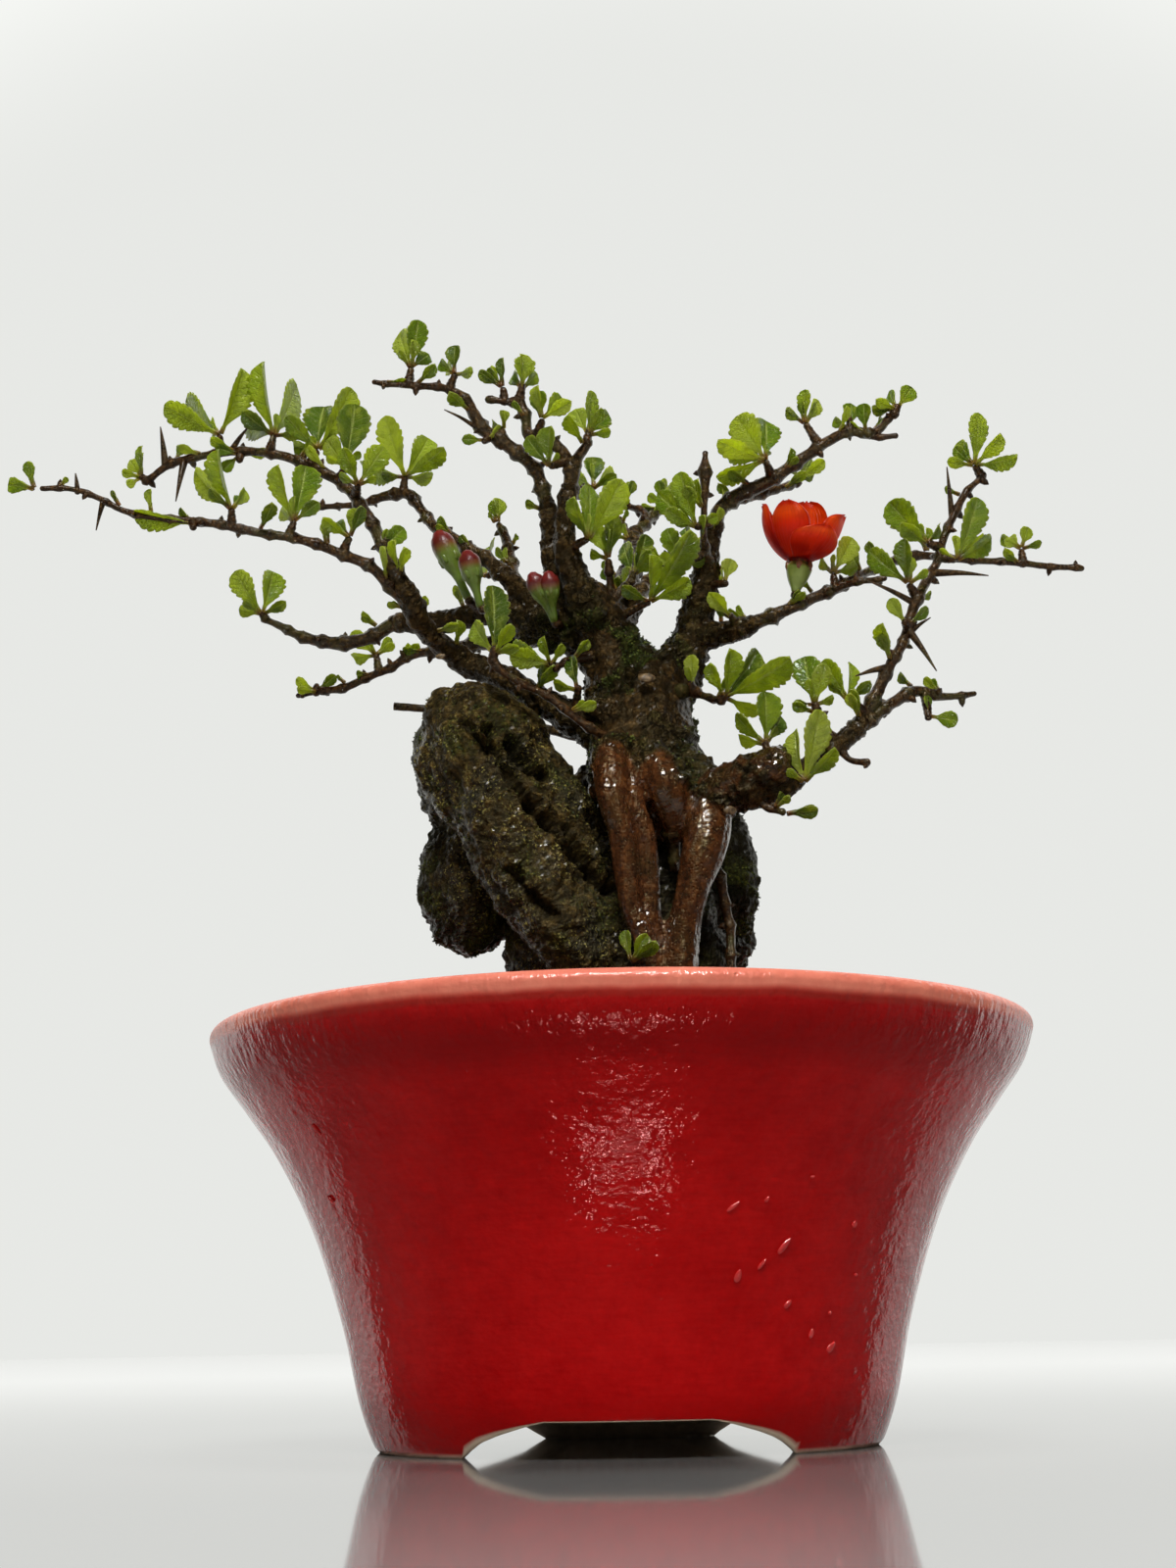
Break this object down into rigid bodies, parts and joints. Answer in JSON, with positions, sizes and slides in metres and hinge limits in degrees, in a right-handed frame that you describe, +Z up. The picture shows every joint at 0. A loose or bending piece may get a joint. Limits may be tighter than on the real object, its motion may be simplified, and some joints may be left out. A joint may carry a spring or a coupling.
{
  "type": "quince rock bonsai",
  "caption": "Small chojubai quince bonsai growing over a dark rock, in a round flared glazed pot with three feet, with leaves, buds and one cup-shaped flower.",
  "frame": {"origin": "on the surface that the pot stands on, under the middle of the whole bonsai's box; the pot's own axis is 9.2 mm from it along +X", "axes": "+Z up, -Y the front of the bonsai, +X to the right as seen from the front"},
  "size_m": [0.2068, 0.15, 0.213],
  "materials": {
    "glazed_clay": "gloss",
    "drain_plastic": "matte",
    "akadama_soil": "matte",
    "dark_rock": "satin",
    "quince_bark": "satin",
    "quince_leaf": "satin",
    "quince_petal": "satin",
    "calyx_green": "satin",
    "stamen_yellow": "matte",
    "bud_red": "satin"
  },
  "bodies": {
    "root": {"pot": "glazed_clay", "drain_mesh": "drain_plastic", "soil": "akadama_soil", "rock": "dark_rock", "tree": "quince_bark", "leaves_l1b_tip": "quince_leaf", "leaves_l1b_d": "quince_leaf", "leaves_l1b_e": "quince_leaf", "leaves_l1b_f": "quince_leaf", "leaves_l1_tip": "quince_leaf", "leaves_l1_a": "quince_leaf", "leaves_l1_c": "quince_leaf", "leaves_l1_g": "quince_leaf", "leaves_l1_h": "quince_leaf", "leaves_l1_i": "quince_leaf", "leaves_e_j": "quince_leaf", "leaves_l2_k": "quince_leaf", "leaves_l3": "quince_leaf", "leaves_d": "quince_leaf", "leaves_s": "quince_leaf", "leaves_arm": "quince_leaf", "leaves_a_tip": "quince_leaf", "leaves_a_b": "quince_leaf", "leaves_c_tip": "quince_leaf", "leaves_c_b": "quince_leaf", "leaves_b_top": "quince_leaf", "leaves_b_right": "quince_leaf", "leaves_b_mid": "quince_leaf", "leaves_b_back": "quince_leaf", "leaves_mid_1": "quince_leaf", "leaves_mid_2": "quince_leaf", "leaves_mid_3": "quince_leaf", "leaves_mid_4": "quince_leaf", "leaves_k": "quince_leaf", "leaves_k_2": "quince_leaf", "leaves_r1_left": "quince_leaf", "leaves_r1_left_2": "quince_leaf", "leaves_r1_up": "quince_leaf", "leaves_r1b": "quince_leaf", "leaves_r1_m": "quince_leaf", "leaves_r1_end": "quince_leaf", "leaves_r2_f": "quince_leaf", "leaves_r3_a": "quince_leaf", "leaves_r3_b": "quince_leaf", "leaves_r2_e": "quince_leaf", "leaves_r3_d": "quince_leaf", "leaves_r3_tip": "quince_leaf", "leaves_t": "quince_leaf", "leaves_h": "quince_leaf", "leaves_h_2": "quince_leaf", "leaves_st_1": "quince_leaf", "leaves_st_2": "quince_leaf", "leaves_sprout": "quince_leaf", "flower_petals": "quince_petal", "flower_calyx": "calyx_green", "flower_stamens": "stamen_yellow", "bud_pair": "bud_red", "bud_left_high": "bud_red", "bud_left_low": "bud_red"}
  },
  "joints": []
}
